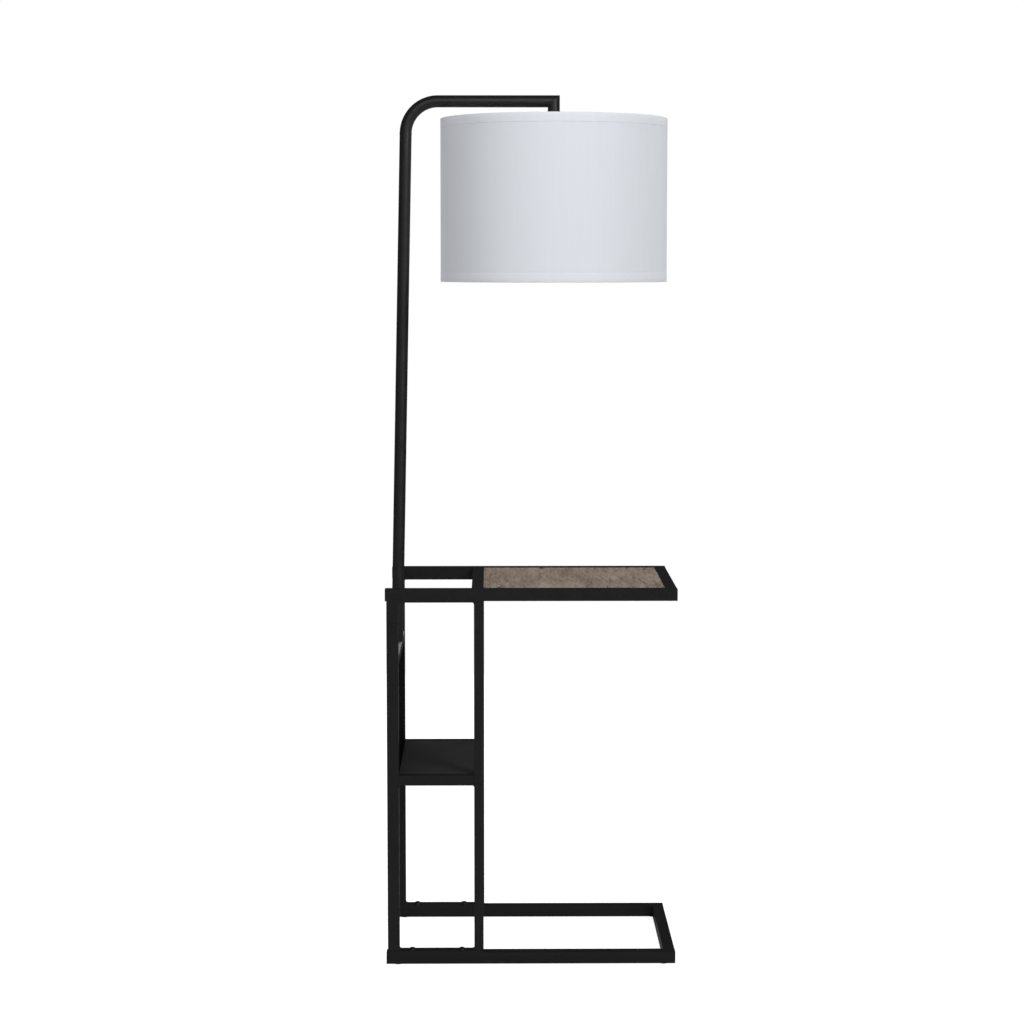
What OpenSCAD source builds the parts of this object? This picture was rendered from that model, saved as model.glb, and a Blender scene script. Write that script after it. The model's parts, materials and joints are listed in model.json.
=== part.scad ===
// Floor lamp with a built-in side table: a welded and bolted square-tube frame,
// a shelf tower on its left end, and a bent pole that carries a drum shade.
// Frame: +Z up, the floor at z = 0, the table's length along X, the front at -Y.
// The origin is on the floor, under the middle of the frame.

/* [Frame] */
// Length of the base and of the table, along X
frame_w = 500; // [420:10:700]
// Depth of the base and of the table, along Y
frame_d = 300; // [220:10:450]
// Height of the table top above the floor
table_h = 655; // [560:5:800]
// Side of the square rails and of the left uprights
tube = 20; // [16:1:30]
// Wall of every square tube
tube_wall = 1.5; // [1:0.1:3]
// Diameter of the glides under the base
glide_d = 16; // [10:1:20]
// Height that the glides lift the base off the floor
glide_t = 1.5; // [1:0.5:6]
// Diameter of each glide's stem
glide_stem_d = 5; // [3:0.5:8]
// Length of each glide's stem inside the tube
glide_stem_l = 6; // [4:1:12]
// Depth of the plugs in the open tube ends
cap_depth = 9; // [5:1:20]

/* [Table top] */
// Thickness of the wooden board
board_t = 16; // [10:1:18]
// How far the board lies below the top of the rails
board_drop = 0.5; // [0:0.1:2]
// Gap all round an inlaid board or panel
panel_gap = 0.3; // [0.2:0.1:1]
// Width of the ledges that carry the two boards
ledge_w = 14; // [8:1:30]
// Thickness of the ledges that carry the two boards
ledge_t = 2; // [1:0.5:3]
// Distance of the board's screws from its ends
board_screw_inset = 46; // [20:2:100]

/* [Tower] */
// Distance from the left ends of the rails to the uprights
tower_inset = 2.5; // [0:0.5:10]
// Clear width between the left and the middle uprights
tower_gap = 129.5; // [100:0.5:180]
// Width of the middle uprights, along X
mid_w = 16; // [12:1:24]
// Thickness of the bolted plates at the ends of the uprights
plate_t = 2.5; // [1.5:0.5:5]
// Radius of the weld fillets between plates and uprights
weld_r = 3.5; // [1:0.5:6]
// Height of the shelf above the floor
shelf_h = 332.5; // [200:2.5:450]
// Side of the square rails round the shelf
shelf_tube = 15; // [12:1:20]
// Thickness of the shelf's board
shelf_board_t = 10; // [6:0.5:10.5]
// Height of the bar that carries the pole, above the shelf; the side panel fills the space below it
pole_bar_h = 205; // [120:5:215]
// Thickness of the side panel's sheet
side_t = 1.5; // [1:0.5:3]
// Width of the side panel's end flanges
flange_w = 18; // [15:1:19]
// Distance of the side panel's screws from its upper and lower edges
panel_screw_inset = 30; // [15:5:60]

/* [Fasteners] */
// Spacing of each pair of frame bolts
bolt_spacing = 86; // [50:1:100]
// Shank diameter of the frame bolts
bolt_d = 6; // [5:0.5:8]
// Head diameter of the domed bolts on the base
bolt_head_d = 14; // [10:0.5:16]
// Head height of the domed bolts on the base
bolt_head_h = 4.5; // [3:0.5:6]
// Length of the frame bolts below their heads
bolt_len = 12; // [8:1:16]
// Shank diameter of the small screws
screw_d = 4; // [3:0.5:5]
// Head diameter of the small screws
screw_head_d = 7.5; // [6:0.5:10]
// Head height of the small screws
screw_head_h = 2; // [1:0.5:4]
// Length of the small screws below their heads
screw_len = 9; // [6:1:12]
// Depth of the hex recess in the domed bolts
bolt_key_depth = 2.5; // [1.5:0.5:4]
// Depth of the hex recess in all other screws
screw_key_depth = 1.2; // [0.8:0.1:2]
// Width of the hex recess in the frame bolts, across its corners
bolt_key_w = 4.5; // [3:0.5:5]
// Width of the hex recess in the small screws, across its corners
screw_key_w = 2.4; // [2:0.1:3]
// Radial clearance of screws and bolts in their holes
hole_clear = 0.1; // [0.05:0.05:0.4]

/* [Pole and arm] */
// Overall height of the lamp
lamp_h = 1500; // [1300:10:1700]
// Outer diameter of the pole and of the arm
pole_d = 21; // [18:0.5:25]
// Wall of the pole and of the arm
pole_wall = 1.5; // [1:0.1:3]
// Lean of the pole towards the shade, in degrees
pole_lean = 1.2; // [0:0.1:2]
// Distance from the left ends of the rails to the pole's axis at the foot
pole_inset = 14.5; // [13:0.5:16]
// Centreline radius of the bend at the top of the pole
bend_r = 56; // [45:1:90]
// Height of the collar between the pole and the arm
collar_h = 2.5; // [1:0.5:8]
// How far the collar stands out from the pole
collar_out = 0.3; // [0:0.1:2]
// Distance from the left ends of the rails to the shade's axis
shade_reach = 291; // [240:1:400]
// Height of the hidden joint in the pole
pole_split_h = 642; // [600:1:650]
// Length of the sleeves inside the pole's joints
sleeve_len = 60; // [30:5:100]
// Wall of the sleeves inside the pole's joints
sleeve_wall = 2.5; // [1.5:0.5:4]
// Radial clearance of the sleeves in the tubes
sleeve_clear = 0.05; // [0.03:0.01:0.1]
// Space between the pole's lower end and its foot
pole_lift = 0.3; // [0.1:0.1:1]
// Thickness of the pole foot's plate
foot_t = 3; // [2:0.5:6]
// Length of the pole foot's plate, along Y
foot_l = 60; // [50:2:90]
// Height of the spigot that the pole stands over
spigot_h = 40; // [20:5:45]
// Radial thickness of the ring that steadies the pole
ring_t = 4; // [3:0.5:8]
// Side of the square tubes of the pole stay
stay_tube = 15; // [12:1:18]
// Gap between the top plates and the pole stay
stay_drop = 4; // [2:1:30]
// Outer diameter of the cord outlet's grommet
grommet_d = 11; // [8:0.5:12]
// Bore of the cord outlet's grommet
grommet_bore = 6.5; // [4:0.5:8]
// Length of the cord outlet's grommet
grommet_l = 5; // [4:0.5:8]
// How far the grommet stands out of the pole
grommet_lip = 1.2; // [0.5:0.1:2]
// Height of the cord outlet above the pole foot
grommet_h = 60; // [54:1:62]

/* [Shade] */
// Outer diameter of the fabric drum
shade_d = 395; // [300:5:460]
// Height of the fabric drum
shade_h = 282; // [200:2:340]
// Space between the arm and the top of the shade
shade_gap = 20; // [8:1:60]
// Thickness of the lined fabric
fabric_t = 1.2; // [0.8:0.1:3]
// Height of the hem bands
hem_h = 16; // [8:1:30]
// Thickness of the hem bands over the fabric
hem_t = 0.5; // [0.3:0.1:1]
// Wire of the shade's rings and spokes
wire_d = 4; // [2:0.5:6]
// Gap between the rings and the fabric's inner face
ring_gap = 0.05; // [0.03:0.01:0.1]
// Distance of the rings from the fabric's upper and lower edges
ring_inset = 0.5; // [0.3:0.1:2]
// Wire of the spokes
spoke_d = 3.5; // [2:0.5:5]
// Number of spokes from the fitter to the top ring
spokes = 3; // [3:1:4]
// How far the shade's fitter lies below the top ring
fitter_drop = 38; // [25:1:60]
// Thickness of the fitter's centre ring
fitter_t = 1.8; // [1:0.2:3]
// Radial width of the fitter's centre ring
fitter_w = 6; // [4:0.5:10]

/* [Lamp holder] */
// Outer diameter of the lamp holder's shell
shell_d = 36; // [32:1:42]
// Wall of the lamp holder's shell
shell_wall = 3; // [2:0.5:3.5]
// Length of the lamp holder's shell below the fitter
shell_len = 34; // [28:1:40]
// How far the shell reaches up into the holder's cap
shell_engage = 12; // [8:1:16]
// Height of the holder's cap
cap_h = 24; // [20:1:34]
// Wall of the holder's cap
cap_wall = 2; // [1.5:0.5:4]
// Diameter of the threaded nipple
nipple_d = 10; // [8:0.5:12]
// Bore of the threaded nipple
nipple_bore = 7; // [5:0.5:8]
// Length of the threaded nipple
nipple_len = 26; // [22:1:28]
// Length of the plug inside the drop tube
plug_len = 16; // [10:1:30]
// Thickness of the plug's flange under the drop tube
plug_flange = 2; // [1:0.5:5]
// Height of the nut that clamps the shade
nut_h = 8; // [5:0.5:14]
// Radial width of the nut that clamps the shade
nut_w = 5; // [3:0.5:10]
// Outer diameter of the brass screw shell
screw_shell_d = 28.4; // [28:0.1:29]
// Wall of the brass screw shell
screw_shell_wall = 0.8; // [0.5:0.1:1]
// Height of the brass screw shell
screw_shell_h = 26; // [22:1:30]
// Thickness of the insulator above the screw shell
insulator_t = 14; // [8:1:18]
// How far the insulator lies below the shell's upper edge
insulator_drop = 1; // [0.5:0.5:3]
// Diameter of the wire holes in the insulator
wire_hole_d = 3; // [2:0.5:4]
// Spacing of the wire holes in the insulator
wire_hole_gap = 16.5; // [12:0.5:20]
// Diameter of the switch's boss
switch_d = 14; // [10:1:18]
// Length of the switch's boss
switch_len = 11; // [8:1:20]
// Height of the switch's boss above the shell's lower edge
switch_rise = 3; // [1:0.5:8]
// Diameter of the switch key's shaft
key_d = 4; // [3:0.5:6]
// Radial running clearance of the switch key
key_clear = 0.05; // [0.03:0.01:0.1]
// Diameter of the collar on the switch key's shaft
key_collar_d = 7; // [6:0.5:10]
// Thickness of the collar on the switch key's shaft
key_collar_t = 2; // [1:0.5:4]
// Running gap between the boss and the key's collar
key_gap = 0.3; // [0.2:0.1:1]
// Length of the switch key outside its boss
key_out = 17; // [12:1:30]
// Width of the switch key's paddle
paddle_w = 14; // [8:1:20]
// Thickness of the switch key's paddle
paddle_t = 3; // [2:0.5:5]

/* [Bulb] */
// Diameter of the bulb's metal cap
bulb_cap_d = 26; // [25.5:0.1:26.2]
// Height of the bulb's metal cap
bulb_cap_h = 24; // [20:1:28]
// Wall of the bulb's metal cap
bulb_cap_wall = 0.5; // [0.3:0.1:1]
// Height of the taper at the top of the bulb's cap
bulb_taper_h = 3; // [2:0.5:5]
// Diameter of the bulb's cap above its taper
bulb_taper_d = 14; // [12:1:18]
// Diameter of the bulb's end contact
tip_d = 9; // [7:0.5:11]
// Height of the bulb's end contact, up to the top of the screw shell's inside
tip_h = 2.2; // [1.5:0.1:4]
// How far the glass's neck reaches into the cap
neck_in = 6; // [4:1:12]
// Gap between the glass's neck and the inside of the cap
neck_gap = 0.1; // [0.05:0.05:0.3]
// Diameter of the bulb's globe
bulb_d = 60; // [45:1:80]
// Length of the bulb below its cap
bulb_len = 84; // [70:1:110]
// Thickness of the bulb's glass
glass_t = 1; // [0.6:0.1:2]

/* [View] */
// Which piece to show

/* [Hidden] */
$fn = 64;
// cutting shapes run this far past what they cut
cut = 1;
// joined shapes of one piece reach this far into each other
lap = 0.01;
black = [0.125, 0.125, 0.13];
black_top = [0.20, 0.20, 0.205];
oak = [0.46, 0.42, 0.38];
linen = [0.86, 0.86, 0.87];
hem_linen = [0.90, 0.90, 0.91];
brass = [0.78, 0.62, 0.32];
opal = [0.95, 0.95, 0.93];
steel = [0.62, 0.62, 0.63];
bakelite = [0.06, 0.06, 0.06];

// frame levels and lines
left_x = -frame_w / 2;
right_x = frame_w / 2;
front_y = -frame_d / 2;
rail_z = glide_t;
rail_top = rail_z + tube;
top_rail_z = table_h - tube;
bore_side = tube - 2 * tube_wall;
// tower lines along X
up_l = left_x + tower_inset;
up_l_in = up_l + tube;
up_m = up_l_in + tower_gap;
up_m_out = up_m + mid_w;
plate_w = up_m_out - up_l;
bolt_mid = (up_l_in + up_m) / 2;
// tower levels
low_z0 = rail_top + plate_t;
shelf_z = shelf_h - shelf_tube;
shelf_in = frame_d / 2 - shelf_tube;
shelf_board_z = shelf_h - shelf_board_t;
bar_z1 = shelf_h + pole_bar_h;
side_h = pole_bar_h - shelf_tube;
low_z1 = shelf_z - plate_t;
up_z1 = top_rail_z - plate_t;
// the flush screws' heads taper through most of the plates they hold
flush_d = bolt_d + 2 * plate_t - 1;
bolt_pairs = [for (s = [-1, 1]) bolt_mid + s * bolt_spacing / 2];
bolt_rows = [for (s = [-1, 1]) s * (frame_d / 2 - tube / 2)];
row_in = frame_d / 2 - tube;
// the middle rail and the board
mid_rail_x = up_m_out - tube;
board_x0 = up_m_out + panel_gap;
board_x1 = right_x - tube - panel_gap;
board_y = row_in - panel_gap;
board_z1 = table_h - board_drop;
board_z0 = board_z1 - board_t;
ledge_z0 = board_z0 - ledge_t;
board_screw_x = [board_x0 + board_screw_inset, board_x1 - board_screw_inset];
board_screw_y = row_in - ledge_w / 2;
// the pole: a straight line from the foot, leaning towards the shade
pole_r = pole_d / 2;
pole_in_r = pole_r - pole_wall;
pole_x = left_x + pole_inset;
pole_z = bar_z1 + foot_t;
drop_x = left_x + shade_reach;
arm_z = lamp_h - pole_r;
bend_at = (arm_z - pole_z - bend_r * (1 - sin(pole_lean))) / cos(pole_lean);
arm_at = bend_at - collar_h;
split_at = (pole_split_h - pole_z) / cos(pole_lean);
bend_cx = pole_x + bend_at * sin(pole_lean) + bend_r * cos(pole_lean);
stay_z = up_z1 - stay_drop - stay_tube;
stay_at = (stay_z + stay_tube / 2 - pole_z) / cos(pole_lean);
ring_r = pole_r + ring_t;
// the shade and the lamp holder hang on the drop
shade_z1 = arm_z - pole_r - shade_gap;
shade_z0 = shade_z1 - shade_h;
fabric_in_r = shade_d / 2 - fabric_t;
ring_line_r = fabric_in_r - wire_d / 2 - ring_gap;
ring_top_z = shade_z1 - wire_d / 2 - ring_inset;
ring_low_z = shade_z0 + wire_d / 2 + ring_inset;
fitter_z1 = shade_z1 - fitter_drop;
fitter_z0 = fitter_z1 - fitter_t;
socket_top = fitter_z1 + cap_h;
drop_end = socket_top + plug_flange;
shell_r = shell_d / 2;
shell_in_r = shell_r - shell_wall;
shell_z0 = fitter_z0 - shell_len;
insulator_z1 = fitter_z1 + shell_engage - insulator_drop;
insulator_z0 = insulator_z1 - insulator_t;
screw_in_r = screw_shell_d / 2 - screw_shell_wall;
bulb_top = insulator_z0 - screw_shell_wall - tip_h;
bulb_z1 = bulb_top - bulb_cap_h;
switch_z = shell_z0 + switch_d / 2 + switch_rise;
cap_r = shell_r + sleeve_clear + cap_wall;
nip_z1 = socket_top + plug_flange + plug_len;

// ---------- small shapes used many times ----------
// hollow square tube along X, from a corner
module tube_x(len, w, h) {
    difference() {
        cube([len, w, h]);
        translate([-cut, tube_wall, tube_wall])
            cube([len + 2 * cut, w - 2 * tube_wall, h - 2 * tube_wall]);
    }
}
// hollow square tube along Y, from a corner
module tube_y(len, w, h) {
    difference() {
        cube([w, len, h]);
        translate([tube_wall, -cut, tube_wall])
            cube([w - 2 * tube_wall, len + 2 * cut, h - 2 * tube_wall]);
    }
}
// hollow upright, from a corner
module upright(w, d, len) {
    difference() {
        cube([w, d, len]);
        translate([tube_wall, tube_wall, -cut])
            cube([w - 2 * tube_wall, d - 2 * tube_wall, len + 2 * cut]);
    }
}
// concave weld fillet along Y in the corner of a wall at x = 0 and a floor at z = 0
module weld(len) {
    rotate([90, 0, 0]) translate([0, 0, -len]) linear_extrude(len)
        difference() {
            square(weld_r);
            translate([weld_r, weld_r]) circle(weld_r, $fn = 48);
        }
}
// domed hex-socket bolt, head up, seat at z = 0
module dome_bolt(d, head_d, head_h, len) {
    r = (head_d * head_d / 4 + head_h * head_h) / (2 * head_h);
    difference() {
        union() {
            intersection() {
                translate([0, 0, head_h - r]) sphere(r);
                cylinder(h = head_h + cut, d = head_d);
            }
            translate([0, 0, -len]) cylinder(h = len + lap, d = d);
        }
        translate([0, 0, head_h - bolt_key_depth])
            cylinder(h = bolt_key_depth + cut, d = bolt_key_w, $fn = 6);
    }
}
// flat countersunk screw, pointing up from its flush face at z = 0
module flush_screw(d, head_d, len) {
    difference() {
        union() {
            cylinder(h = (head_d - d) / 2, d1 = head_d, d2 = d);
            cylinder(h = len, d = d);
        }
        translate([0, 0, -cut]) cylinder(h = screw_key_depth + cut, d = bolt_key_w, $fn = 6);
    }
}
// the hole and countersink for a flush screw
module flush_hole(d, head_d, len) {
    hole_d = d + 2 * hole_clear;
    mouth_d = head_d + 2 * hole_clear;
    translate([0, 0, -lap])
        cylinder(h = (head_d - d) / 2 + lap, d1 = mouth_d + 2 * lap, d2 = hole_d);
    translate([0, 0, -cut]) cylinder(h = len + 2 * cut, d = hole_d);
}
// along the leaning pole, from its foot
module on_pole() {
    translate([pole_x, 0, pole_z]) rotate([0, pole_lean, 0]) children();
}
// at each frame bolt
module at_bolts(z) {
    for (x = bolt_pairs, y = bolt_rows) translate([x, y, z]) children();
}
// at each glide
module at_glides() {
    for (x = [left_x + tube, right_x - tube], y = bolt_rows) translate([x, y, 0]) children();
}
// a long base or table rail, front (-1) or back (1)
module long_rail(side, z) {
    translate([left_x, side > 0 ? row_in : front_y, z]) tube_x(frame_w, tube, tube);
}
module end_plugs(z) {
    c = cap_depth;
    s = bore_side - 2 * hole_clear;
    for (x = [left_x, right_x - c], y = bolt_rows)
        translate([x, y - s / 2, z + tube / 2 - s / 2]) cube([c, s, s]);
}

// ---------- base ----------
module base_rail(side) {
    color(black) difference() {
        long_rail(side, rail_z);
        at_bolts(rail_z + tube / 2) cylinder(h = tube, d = bolt_d + 2 * hole_clear);
        at_glides() cylinder(h = rail_z + tube / 2, d = glide_stem_d + 2 * hole_clear);
    }
}
module base_front_rail() { base_rail(-1); }
module base_back_rail() { base_rail(1); }
module base_end_rail() {
    color(black) translate([right_x - tube, -row_in, rail_z]) tube_y(2 * row_in, tube, tube);
}
module base_end_caps() {
    color(bakelite) end_plugs(rail_z);
}
module base_glides() {
    color(bakelite) at_glides() {
        cylinder(h = glide_t, d = glide_d);
        cylinder(h = glide_t + tube_wall + glide_stem_l, d = glide_stem_d);
    }
}

// ---------- plates with their weld fillets ----------
// plate across both uprights; fillets above (1) or below (-1)
module plate_row(z, dir) {
    for (y = [front_y, row_in]) {
        translate([up_l, y, z]) cube([plate_w, tube, plate_t]);
        translate([0, y, dir > 0 ? z + plate_t : z]) {
            translate([up_l_in, 0, 0]) mirror([0, 0, dir > 0 ? 0 : 1]) weld(tube);
            translate([up_m, 0, 0]) mirror([1, 0, 0]) mirror([0, 0, dir > 0 ? 0 : 1]) weld(tube);
        }
    }
}
module foot_plates() {
    color(black) difference() {
        plate_row(rail_top, 1);
        at_bolts(rail_top - cut) cylinder(h = plate_t + 2 * cut, d = bolt_d + 2 * hole_clear);
    }
}
module base_bolts() {
    color(black) at_bolts(rail_top + plate_t) dome_bolt(bolt_d, bolt_head_d, bolt_head_h, bolt_len);
}
module head_plates() {
    color(black) difference() {
        plate_row(low_z1, -1);
        at_bolts(low_z1) flush_hole(bolt_d, flush_d, plate_t);
    }
}
module joint_screws() {
    color(black) at_bolts(low_z1) flush_screw(bolt_d, flush_d, bolt_len);
}
module top_plates() {
    color(black) difference() {
        plate_row(up_z1, -1);
        at_bolts(up_z1) flush_hole(bolt_d, flush_d, plate_t);
    }
}
module top_screws() {
    color(black) at_bolts(up_z1) flush_screw(bolt_d, flush_d, bolt_len);
}

// ---------- uprights ----------
module lower_left(y) {
    color(black) translate([up_l, y, low_z0]) upright(tube, tube, low_z1 - low_z0);
}
module lower_mid(y) {
    color(black) translate([up_m, y, low_z0]) upright(mid_w, tube, low_z1 - low_z0);
}
module lower_left_front() { lower_left(front_y); }
module lower_left_back() { lower_left(row_in); }
module lower_mid_front() { lower_mid(front_y); }
module lower_mid_back() { lower_mid(row_in); }
// the upper uprights stand on the head plates; the side panel's screws enter their inner faces
module upper_left(y, side) {
    color(black) difference() {
        translate([up_l, y, shelf_z]) upright(tube, tube, up_z1 - shelf_z);
        at_panel_screws(side) translate([0, 0, -cut])
            cylinder(h = tube_wall + 2 * cut, d = screw_d + 2 * hole_clear);
    }
}
module upper_mid(y) {
    color(black) translate([up_m, y, shelf_z]) upright(mid_w, tube, up_z1 - shelf_z);
}
module upper_left_front() { upper_left(front_y, -1); }
module upper_left_back() { upper_left(row_in, 1); }
module upper_mid_front() { upper_mid(front_y); }
module upper_mid_back() { upper_mid(row_in); }

// ---------- shelf ----------
module shelf_bar(y) {
    color(black) difference() {
        translate([up_l_in, y, shelf_z]) tube_x(tower_gap, shelf_tube, shelf_tube);
        at_bolts(shelf_z - cut) cylinder(h = shelf_tube / 2, d = bolt_d + 2 * hole_clear);
    }
}
module shelf_front_rail() { shelf_bar(front_y); }
module shelf_back_rail() { shelf_bar(shelf_in); }
module shelf_left_rail() {
    color(black) translate([up_l, -row_in, shelf_z]) tube_y(2 * row_in, tube, shelf_tube);
}
module shelf_mid_rail() {
    color(black) translate([up_m, -row_in, shelf_z]) tube_y(2 * row_in, mid_w, shelf_tube);
}
// black board between the rails, on its own two ledges
module shelf_panel() {
    x0 = up_l_in + panel_gap;
    y0 = shelf_in - panel_gap;
    color(black_top) difference() {
        translate([x0, -y0, shelf_board_z]) cube([up_m - panel_gap - x0, 2 * y0, shelf_board_t]);
        at_board_screws() board_screw_hole();
    }
}
// folded sheet between the left uprights: a web flush with their inner faces, a flange on each
module side_panel() {
    color(black) difference() {
        translate([0, 0, shelf_h]) union() {
            translate([up_l_in - side_t, -row_in, 0]) cube([side_t, 2 * row_in, side_h]);
            for (y = [-row_in, row_in - side_t])
                translate([up_l_in - flange_w, y, 0]) cube([flange_w, side_t, side_h]);
        }
        for (s = [-1, 1]) at_panel_screws(s) translate([0, 0, -side_t - cut])
            cylinder(h = side_t + 2 * cut, d = screw_d + 2 * hole_clear);
    }
}
// the side panel's screws: each frame's z runs into the upright
module at_panel_screws(side) {
    for (z = [panel_screw_inset, side_h - panel_screw_inset])
        translate([up_l + tube / 2, side * row_in, shelf_h + z])
            rotate([side > 0 ? -90 : 90, 0, 0]) children();
}
// the screws of the side panel and of the pole's foot
module pan_screws() {
    color(black) {
        for (s = [-1, 1]) at_panel_screws(s)
            translate([0, 0, -side_t]) rotate([180, 0, 0]) pan_screw();
        at_foot_screws() translate([0, 0, foot_t]) pan_screw();
    }
}
// pan-head screw, head up, seat at z = 0
module pan_screw() {
    difference() {
        union() {
            cylinder(h = screw_head_h, d = screw_head_d);
            translate([0, 0, -screw_len]) cylinder(h = screw_len + lap, d = screw_d);
        }
        translate([0, 0, screw_head_h - screw_key_depth])
            cylinder(h = screw_key_depth + cut, d = screw_key_w, $fn = 6);
    }
}

// ---------- table ----------
module top_long_rail(side) {
    color(black) difference() {
        long_rail(side, top_rail_z);
        for (x = bolt_pairs) translate([x, side * (frame_d / 2 - tube / 2), top_rail_z - cut])
            cylinder(h = tube / 2, d = bolt_d + 2 * hole_clear);
    }
}
module top_front_rail() { top_long_rail(-1); }
module top_back_rail() { top_long_rail(1); }
module top_end_rail() {
    color(black) translate([right_x - tube, -row_in, top_rail_z]) tube_y(2 * row_in, tube, tube);
}
module top_mid_rail() {
    color(black) translate([mid_rail_x, -row_in, top_rail_z]) tube_y(2 * row_in, tube, tube);
}
module board_ledges() {
    x0 = up_m_out;
    color(black) difference() {
        union() {
            for (y = [-row_in, row_in - ledge_w])
                translate([x0, y, ledge_z0]) cube([right_x - tube - x0, ledge_w, ledge_t]);
            for (y = [-shelf_in, shelf_in - ledge_w])
                translate([up_l_in, y, shelf_board_z - ledge_t]) cube([tower_gap, ledge_w, ledge_t]);
        }
        at_board_screws() translate([0, 0, -ledge_t - cut])
            cylinder(h = ledge_t + 2 * cut, d = screw_d + 2 * hole_clear);
    }
}
// the screws under the wooden board, and those under the shelf's board
module at_board_screws() {
    for (x = board_screw_x, s = [-1, 1]) translate([x, s * board_screw_y, board_z0]) children();
    for (x = bolt_pairs, s = [-1, 1])
        translate([x, s * (shelf_in - ledge_w / 2), shelf_board_z]) children();
}
module board_screw_hole() {
    translate([0, 0, -cut])
        cylinder(h = screw_len - ledge_t + 2 * cut, d = screw_d + 2 * hole_clear);
}
module table_board() {
    color(oak) difference() {
        translate([board_x0, -board_y, board_z0]) cube([board_x1 - board_x0, 2 * board_y, board_t]);
        at_board_screws() board_screw_hole();
    }
}
module board_screws() {
    color(steel) at_board_screws() translate([0, 0, -ledge_t]) rotate([180, 0, 0]) pan_screw();
}
module top_end_caps() {
    color(bakelite) end_plugs(top_rail_z);
}

// ---------- pole ----------
module at_foot_screws() {
    for (s = [-1, 1]) translate([pole_x, s * (foot_l / 2 - screw_head_d), bar_z1]) children();
}
// bar between the left uprights, over the side panel
module pole_bar() {
    color(black) difference() {
        translate([up_l, -row_in, bar_z1 - shelf_tube]) tube_y(2 * row_in, tube, shelf_tube);
        at_foot_screws() translate([0, 0, -shelf_tube / 2])
            cylinder(h = shelf_tube, d = screw_d + 2 * hole_clear);
    }
}
module pole_foot() {
    color(black) difference() {
        union() {
            translate([up_l, -foot_l / 2, bar_z1]) cube([tube, foot_l, foot_t]);
            intersection() {
                on_pole() translate([0, 0, -foot_t])
                    cylinder(h = spigot_h + foot_t, r = pole_in_r - sleeve_clear);
                translate([pole_x - pole_d, -pole_d, bar_z1])
                    cube([2 * pole_d, 2 * pole_d, 2 * spigot_h]);
            }
        }
        at_foot_screws() translate([0, 0, -cut])
            cylinder(h = foot_t + 2 * cut, d = screw_d + 2 * hole_clear);
    }
}
module pole_tube(from, to) {
    difference() {
        translate([0, 0, from]) cylinder(h = to - from, r = pole_r);
        translate([0, 0, from - cut]) cylinder(h = to - from + 2 * cut, r = pole_in_r);
    }
}
module pole_lower() {
    color(black) on_pole() difference() {
        pole_tube(pole_lift, split_at);
        translate([-pole_d, 0, grommet_h]) rotate([0, 90, 0]) cylinder(h = pole_d, d = grommet_d);
    }
}
// rubber-like bush in the cord outlet, on the pole's outer side
module cord_grommet() {
    color(bakelite) on_pole() translate([-pole_r - grommet_lip, 0, grommet_h])
        rotate([0, 90, 0]) difference() {
            cylinder(h = grommet_l, d = grommet_d - 2 * sleeve_clear);
            translate([0, 0, -cut]) cylinder(h = grommet_l + 2 * cut, d = grommet_bore);
        }
}
module sleeve() {
    difference() {
        translate([0, 0, -sleeve_len / 2]) cylinder(h = sleeve_len, r = pole_in_r - sleeve_clear);
        translate([0, 0, -sleeve_len / 2 - cut])
            cylinder(h = sleeve_len + 2 * cut, r = pole_in_r - sleeve_wall);
    }
}
module pole_sleeve() {
    color(steel) on_pole() translate([0, 0, split_at]) sleeve();
}
module pole_upper() {
    color(black) on_pole() pole_tube(split_at, arm_at);
}
// spigot in the pole's top, with the collar that the arm's bend is welded to
module arm_sleeve() {
    low = arm_at - sleeve_len / 2;
    tall = sleeve_len / 2 + collar_h;
    color(black) on_pole() difference() {
        union() {
            translate([0, 0, low]) cylinder(h = tall, r = pole_in_r - sleeve_clear);
            translate([0, 0, arm_at]) cylinder(h = collar_h, r = pole_r + collar_out);
        }
        translate([0, 0, low - cut]) cylinder(h = tall + 2 * cut, r = pole_in_r - sleeve_wall);
    }
}
// a ring round the pole on two tubes that reach the left uprights
module pole_stay() {
    color(black) difference() {
        union() {
            translate([up_l + tube / 2 - stay_tube / 2, -row_in, stay_z])
                tube_y(2 * row_in, stay_tube, stay_tube);
            translate([pole_x + stay_at * sin(pole_lean), 0, stay_z])
                cylinder(h = stay_tube, r = ring_r);
        }
        on_pole() translate([0, 0, stay_at - stay_tube])
            cylinder(h = 2 * stay_tube, r = pole_r + hole_clear);
    }
}

// ---------- arm ----------
// half-spaces on the two sides of the mitre in the arm's corner
module mitre_side(side) {
    big = 2 * lamp_h;
    translate([drop_x, 0, arm_z]) rotate([0, 45, 0])
        translate([side < 0 ? -big : 0, -big / 2, -big / 2]) cube(big);
}
// bend and level run as a solid of radius r; the bore turns a degree past the open end
module arm_path(r, past) {
    turn = 90 - pole_lean + past;
    translate([bend_cx, 0, arm_z - bend_r]) rotate([90, 0, 0]) rotate([0, 0, 90])
        rotate_extrude(angle = turn, $fn = 128) translate([bend_r, 0]) circle(r, $fn = 64);
    translate([bend_cx, 0, arm_z]) rotate([0, 90, 0])
        cylinder(h = drop_x - bend_cx + 2 * pole_r, r = r);
}
module arm_tube() {
    color(black) intersection() {
        difference() {
            arm_path(pole_r, 0);
            arm_path(pole_in_r, 1);
        }
        mitre_side(-1);
    }
}
// the short drop, mitred and welded to the level run
module arm_drop() {
    tall = arm_z - drop_end + pole_d;
    color(black) intersection() {
        difference() {
            translate([drop_x, 0, drop_end]) cylinder(h = tall, r = pole_r);
            translate([drop_x, 0, drop_end - cut]) cylinder(h = tall + 2 * cut, r = pole_in_r);
        }
        mitre_side(1);
    }
}

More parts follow.
